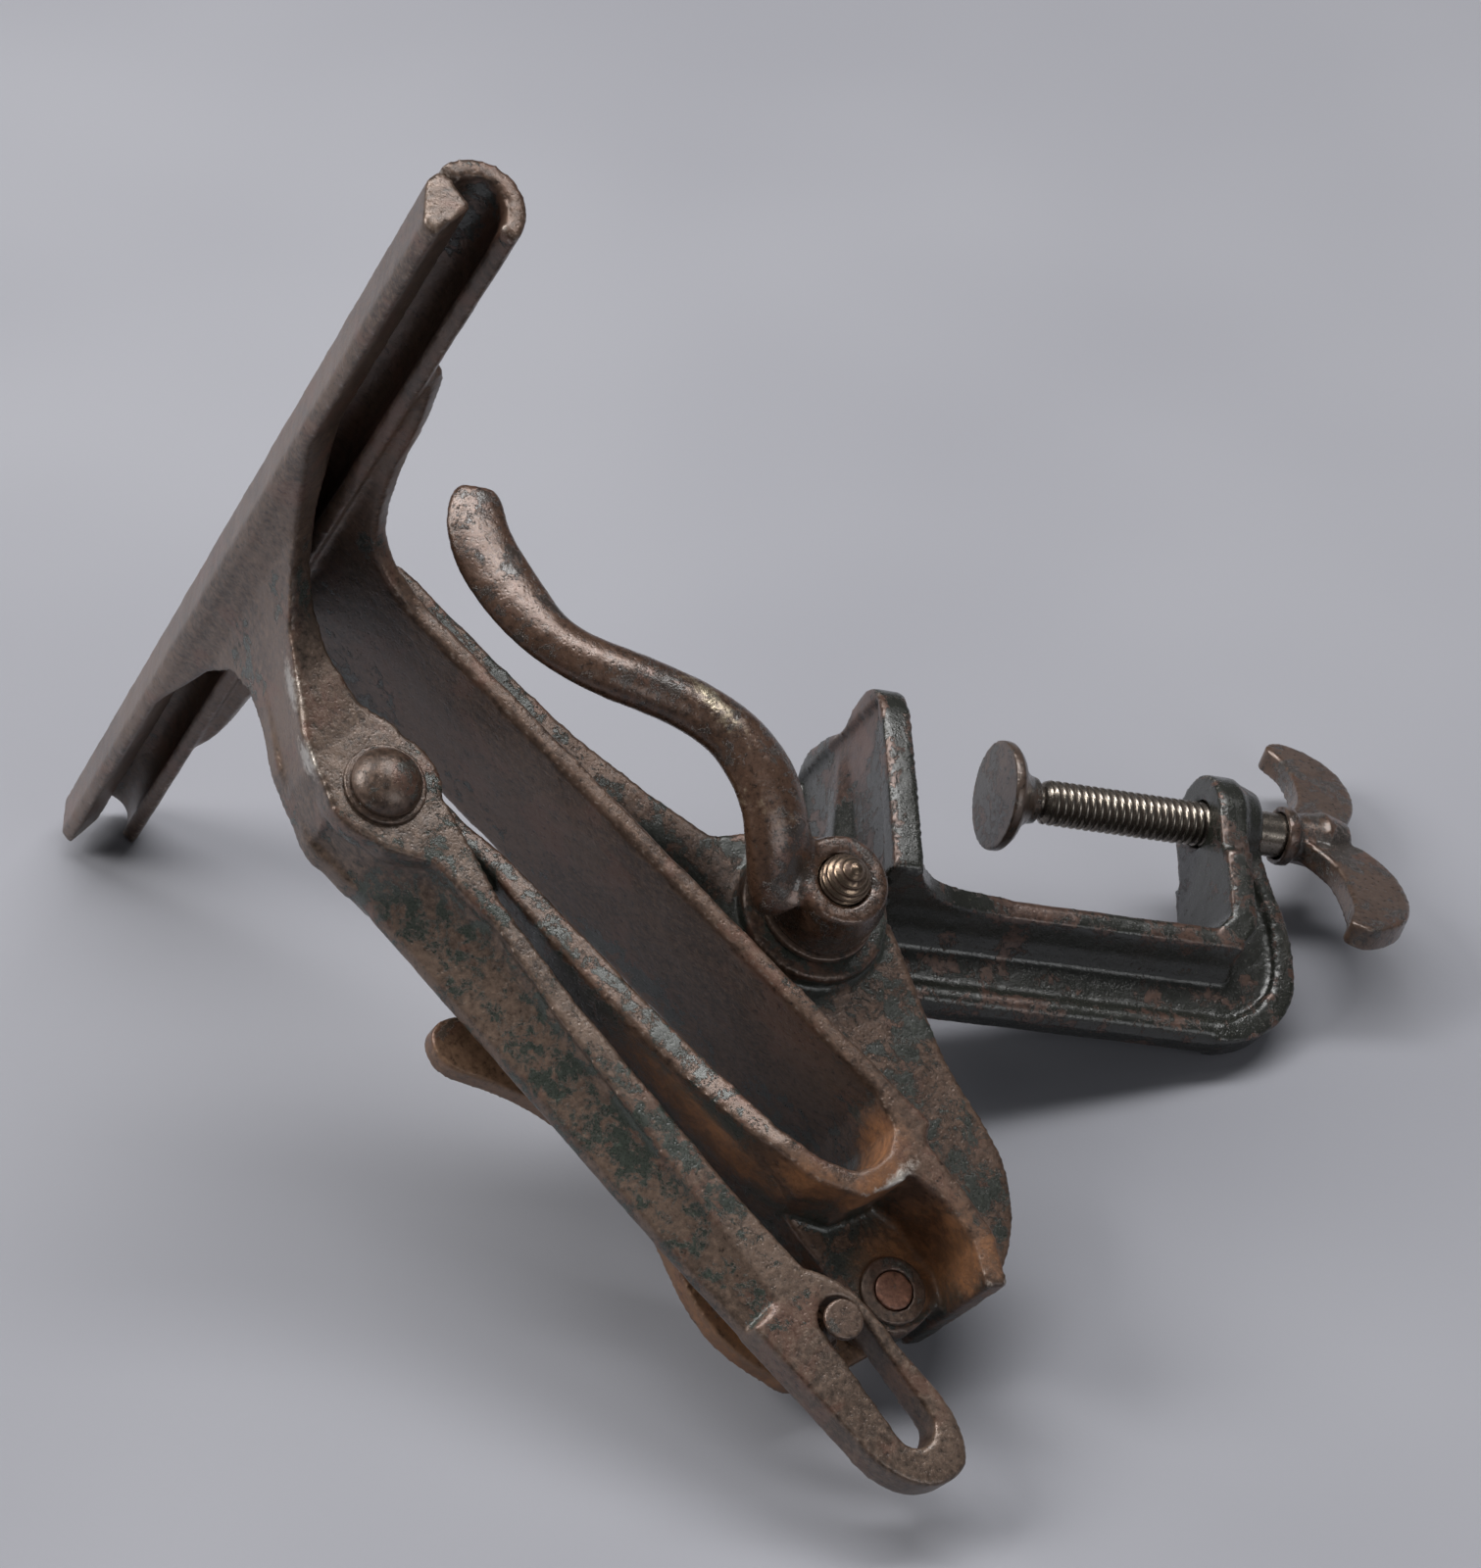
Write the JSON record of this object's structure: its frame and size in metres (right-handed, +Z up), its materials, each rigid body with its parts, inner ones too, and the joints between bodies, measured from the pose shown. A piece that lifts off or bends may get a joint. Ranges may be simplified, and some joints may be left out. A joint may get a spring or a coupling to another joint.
{
  "type": "saw vise",
  "caption": "Bench saw vise for saw filing: a cast frame with a deep throat, a pivoted front jaw closed by a cam lever, and a swivelling C-clamp with a wing screw.",
  "frame": {"origin": "middle of the resting footprint's bounding box, at table height, with the vise lying on its left side", "axes": "+Z up from the table, +Y from the front jaw towards the clamp, -X towards the jaws; the jaws rise at 59 degrees to the table"},
  "size_m": [0.2532, 0.2123, 0.226],
  "materials": {
    "frame_iron": "worn black japanning over brown rust",
    "jaw_iron": "worn black japanning over brown rust",
    "lever_iron": "brown rust",
    "clamp_iron": "worn black japanning, bright edges",
    "handle_iron": "polished by handling",
    "wing_iron": "dark brown, bright edges",
    "pad_steel": "dark, worn rim",
    "screw_steel": "oiled steel",
    "stud_steel": "oiled steel",
    "stud_washer_steel": "worn steel",
    "jaw_rivet_steel": "worn steel",
    "jaw_washer_steel": "rusty steel",
    "lever_rivet_steel": "rusty steel",
    "lever_washer_steel": "rusty steel",
    "crank_pin_steel": "worn steel"
  },
  "bodies": {
    "frame": {"frame_casting": "frame_iron", "jaw_rivet": "jaw_rivet_steel", "jaw_rivet_washer": "jaw_washer_steel", "lever_rivet": "lever_rivet_steel", "lever_washer": "lever_washer_steel", "stud_washer": "stud_washer_steel"},
    "jaw_arm": {"moving_jaw": "jaw_iron"},
    "lever": {"cam_lever": "lever_iron", "crank_pin": "crank_pin_steel"},
    "clamp": {"clamp_bracket": "clamp_iron", "swivel_stud": "stud_steel"},
    "handle": {"handle_nut": "handle_iron"},
    "pad": {"swivel_pad": "pad_steel"},
    "screw": {"clamp_screw": "screw_steel", "wing_handle": "wing_iron"}
  },
  "joints": [
    {"name": "jaw_pivot", "type": "hinge", "parent": "frame", "child": "jaw_arm", "pos_m": [-0.01379, -0.08766, 0.08713], "axis": [0.5124, -0.069, 0.856], "range_deg": [0, 3.1]},
    {"name": "lever_turn", "type": "hinge", "parent": "frame", "child": "lever", "pos_m": [0.09605, -0.07542, 0.02237], "axis": [0.5124, -0.069, 0.856], "range_deg": [0, 66]},
    {"name": "clamp_swivel", "type": "hinge", "parent": "frame", "child": "clamp", "pos_m": [0.04564, -0.03577, 0.05573], "axis": [0.5124, -0.069, 0.856], "range_deg": [-38, 35]},
    {"name": "handle_turn", "type": "hinge", "parent": "clamp", "child": "handle", "pos_m": [0.04564, -0.03577, 0.05573], "axis": [0.5124, -0.069, 0.856], "range_deg": [-30, 180]},
    {"name": "pad_travel", "type": "slide", "parent": "clamp", "child": "pad", "axis": [-0.6331, -0.7037, 0.3223], "range_m": [-0.034, 0.004]},
    {"name": "screw_turn", "type": "hinge", "parent": "pad", "child": "screw", "pos_m": [0.06335, 0.05012, 0.02986], "axis": [-0.6331, -0.7037, 0.3223], "range_deg": [-7640, 898]}
  ],
  "couplings": [
    {"joint": "jaw_pivot", "follows": "lever_turn", "ratio": 0.046},
    {"joint": "pad_travel", "follows": "screw_turn", "m_per_rad": 0.00025465}
  ]
}
